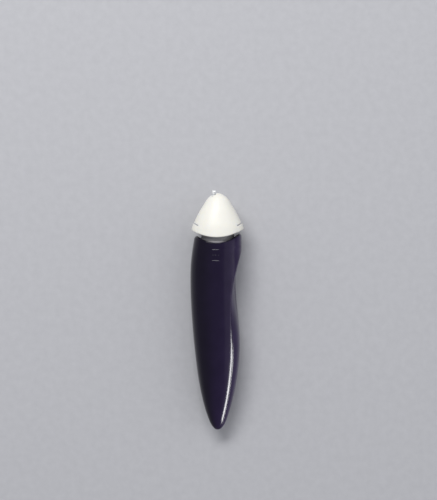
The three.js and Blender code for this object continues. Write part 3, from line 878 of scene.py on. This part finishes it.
def wheel_steel():
    """Brushed steel, dusted with chalk in patches."""
    dark, light, chalk = (0.5, 0.51, 0.53), (0.7, 0.71, 0.73), (0.8, 0.8, 0.78)
    made, nodes, links, shader = material("wheel_steel", light, 0.3, 1.0)
    brushed = object_noise(nodes, links, 2500, 4, 0.6, (6, 1, 1))
    chalky = object_noise(nodes, links, 1800, 4, 0.7)
    dust = ramp(nodes, links, chalky, 0.0, 1.0, 0.42, 0.56)
    mix = nodes.new("ShaderNodeMix")
    mix.data_type = "RGBA"
    mix.inputs["B"].default_value = (*chalk, 1)
    links.new(dust, mix.inputs["Factor"])
    links.new(ramp(nodes, links, brushed, dark, light), mix.inputs["A"])
    links.new(mix.outputs["Result"], shader.inputs["Base Color"])
    links.new(ramp(nodes, links, chalky, 0.26, 0.8, 0.4, 0.56), shader.inputs["Roughness"])
    links.new(ramp(nodes, links, chalky, 1.0, 0.1, 0.42, 0.56), shader.inputs["Metallic"])
    bump(nodes, links, shader, [(brushed, 0.000004), (chalky, 0.00001)])
    return made


def seal_rubber():
    """Matt black rubber."""
    dark, light = (0.009, 0.009, 0.009), (0.02, 0.02, 0.02)
    made, nodes, links, shader = material("seal_rubber", light, 0.6)
    grain = object_noise(nodes, links, 6000, 3)
    links.new(ramp(nodes, links, grain, dark, light), shader.inputs["Base Color"])
    links.new(ramp(nodes, links, grain, 0.5, 0.7), shader.inputs["Roughness"])
    bump(nodes, links, shader, [(grain, 0.000005)])
    return made


def chalk_powder():
    """Packed white powder."""
    dark, light = (0.78, 0.78, 0.76), (0.9, 0.9, 0.88)
    made, nodes, links, shader = material("chalk_powder", light, 0.95)
    grain = object_noise(nodes, links, 4000, 5, 0.7)
    links.new(ramp(nodes, links, grain, dark, light), shader.inputs["Base Color"])
    bump(nodes, links, shader, [(grain, 0.00006)])
    return made


# ---------- pieces on their bodies ----------
finish = {
    "handle": handle_plastic(),
    "inner_plastic": inner_plastic(),
    "nose": nose_plastic(),
    "reservoir": smoky_plastic(),
    "steel": wheel_steel(),
    "seal": seal_rubber(),
    "chalk": chalk_powder(),
}


def install(piece, body, slot, *nodes):
    """Gives a piece its finish and lets it ride on its body in place of CAD nodes."""
    piece.data.materials.clear()
    piece.data.materials.append(finish[slot])
    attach(piece, body)
    if nodes:
        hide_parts(*nodes)


def left_seam(station):
    """The left seam's angle around the handle, the same at every station."""
    return math.pi + 0 * station


def right_seam_full_turn(station):
    """The right seam's angle, reached the long way round."""
    return 2 * math.pi + seam_angle(station)


front = shell_half("front_shell_skin", seam_angle, left_seam, True)
back = shell_half("back_shell_skin", left_seam, right_seam_full_turn, False)
mark = motif()
handle_pieces = [front, back, mark]
install(front, "handle", "handle", "front_shell")
install(back, "handle", "handle", "back_shell")
install(mark, "handle", "handle")
install(sleeve(), "handle", "inner_plastic", "socket_sleeve")

install(nose_cone(), "cartridge", "nose", "nose_cone")
install(reservoir(), "cartridge", "reservoir", "chalk_reservoir")
for side, word in ((-1, "left"), (1, "right")):
    install(release_tab(side), f"tab_{word}", "nose", f"release_tab_{word}")
install(toothed_wheel(), "wheel", "steel", "toothed_wheel")
install(axle_bar("axle_pin", AXLE_RADIUS, 40, AXLE_LENGTH), "cartridge", "steel", "wheel_axle")
install(plug(), "plug", "inner_plastic", "reservoir_plug")

carried_over = {"chalk_funnel": "reservoir", "reservoir_seal": "seal", "chalk_fill": "chalk"}
for node, slot in carried_over.items():
    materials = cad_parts[node].data.materials
    materials.clear()
    materials.append(finish[slot])


# ---------- stage, light and camera ----------
def stage():
    """A plain pale floor under the tool."""
    work = bmesh.new()
    corners = [work.verts.new((x * FLOOR_HALF, y * FLOOR_HALF, FLOOR_DROP))
               for x, y in ((-1, -1), (1, -1), (1, 1), (-1, 1))]
    work.faces.new(corners)
    mesh = bpy.data.meshes.new("floor")
    work.to_mesh(mesh)
    work.free()
    floor = bpy.data.objects.new("floor", mesh)
    bpy.context.scene.collection.objects.link(floor)
    dark, light = (0.49, 0.49, 0.51), (0.52, 0.52, 0.54)
    made, nodes, links, shader = material("floor_paper", light, 0.9)
    grain = object_noise(nodes, links, 300, 3)
    links.new(ramp(nodes, links, grain, dark, light), shader.inputs["Base Color"])
    mesh.materials.append(made)


def area_light(name, place, size, power, only=()):
    """A soft rectangular light that faces the tool's middle. It can be kept to some pieces only.
    Its place and size are in metres, its power in watts."""
    light = bpy.data.lights.new(name, "AREA")
    light.shape = "RECTANGLE"
    light.size, light.size_y = size
    light.energy = power
    lamp = bpy.data.objects.new(name, light)
    bpy.context.scene.collection.objects.link(lamp)
    lamp.location = place
    from_tool = Vector(place) - Vector((0, 0, 0.01))
    lamp.rotation_euler = from_tool.to_track_quat("Z", "Y").to_euler()
    if only:
        lit = bpy.data.collections.new(name + "_receivers")
        for piece in only:
            lit.objects.link(piece)
        lamp.light_linking.receiver_collection = lit


def sky(strength):
    """An even, slightly cool light from all round."""
    world = bpy.data.worlds.new("studio")
    bpy.context.scene.world = world
    world.use_nodes = True
    background = world.node_tree.nodes["Background"]
    background.inputs["Color"].default_value = (0.92, 0.94, 1.0, 1)
    background.inputs["Strength"].default_value = strength


def camera():
    """Straight above the tool, which shows it front on, with a long lens."""
    data = bpy.data.cameras.new("camera")
    data.sensor_fit = "VERTICAL"
    data.sensor_height = SENSOR
    data.lens = SENSOR * CAMERA_DISTANCE / FRAME_HEIGHT
    eye = bpy.data.objects.new("camera", data)
    bpy.context.scene.collection.objects.link(eye)
    eye.location = (VIEW_X, VIEW_Y, CAMERA_DISTANCE + AXIS_HEIGHT * MM)
    bpy.context.scene.camera = eye


stage()
sky(0.43)
area_light("key", (-0.22, 0.56, 0.75), (0.6, 0.3), 6.0)
area_light("fill", (0.55, 0.05, 0.5), (0.8, 0.8), 0.8)
# The strip makes the long highlight on the handle's crease, and leaves the nose and the floor even.
area_light("strip", (0.52, -0.36, 0.2), (0.62, 0.24), 18, only=handle_pieces)
camera()
bpy.context.scene.view_settings.view_transform = "Standard"
